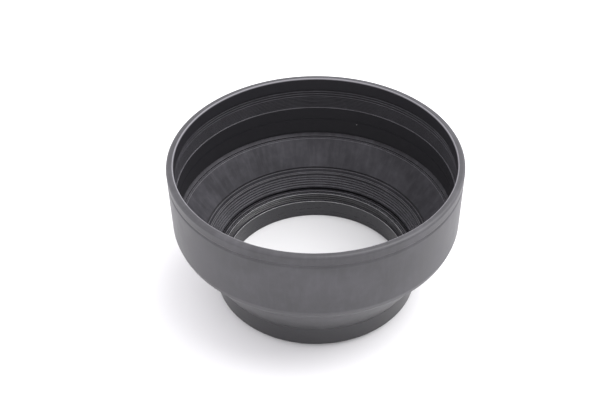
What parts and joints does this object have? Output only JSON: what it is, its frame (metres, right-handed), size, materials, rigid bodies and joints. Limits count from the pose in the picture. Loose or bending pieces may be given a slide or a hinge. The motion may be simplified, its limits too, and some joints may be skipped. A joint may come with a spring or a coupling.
{
  "type": "lens hood",
  "caption": "Round folding rubber lens hood: threaded metal mount ring, ribbed neck, cone and wide front barrel on collapsing webs.",
  "frame": {"origin": "centre of the mount thread's rear edge, on the optical axis", "axes": "+Z along the optical axis, from the lens towards the mouth; X and Y are equivalent"},
  "size_m": [0.08, 0.08, 0.0446],
  "materials": {
    "rubber": "matte moulded charcoal rubber with a faint bloom",
    "black_metal": "turned, black anodised, satin"
  },
  "bodies": {
    "base": {"mount_ring": "black_metal", "retaining_ring": "black_metal", "base_collar": "rubber", "neck_web": "rubber"},
    "middle_section": {"middle_ring": "rubber", "cone_web": "rubber"},
    "front_section": {"front_barrel": "rubber"}
  },
  "joints": [
    {"name": "neck_fold", "type": "slide", "parent": "base", "child": "middle_section", "axis": [0, 0, 1], "range_m": [-0.0086, 0], "deforming": ["neck_web"]},
    {"name": "front_fold", "type": "slide", "parent": "middle_section", "child": "front_section", "axis": [0, 0, 1], "range_m": [-0.017, 0], "deforming": ["cone_web"]}
  ]
}
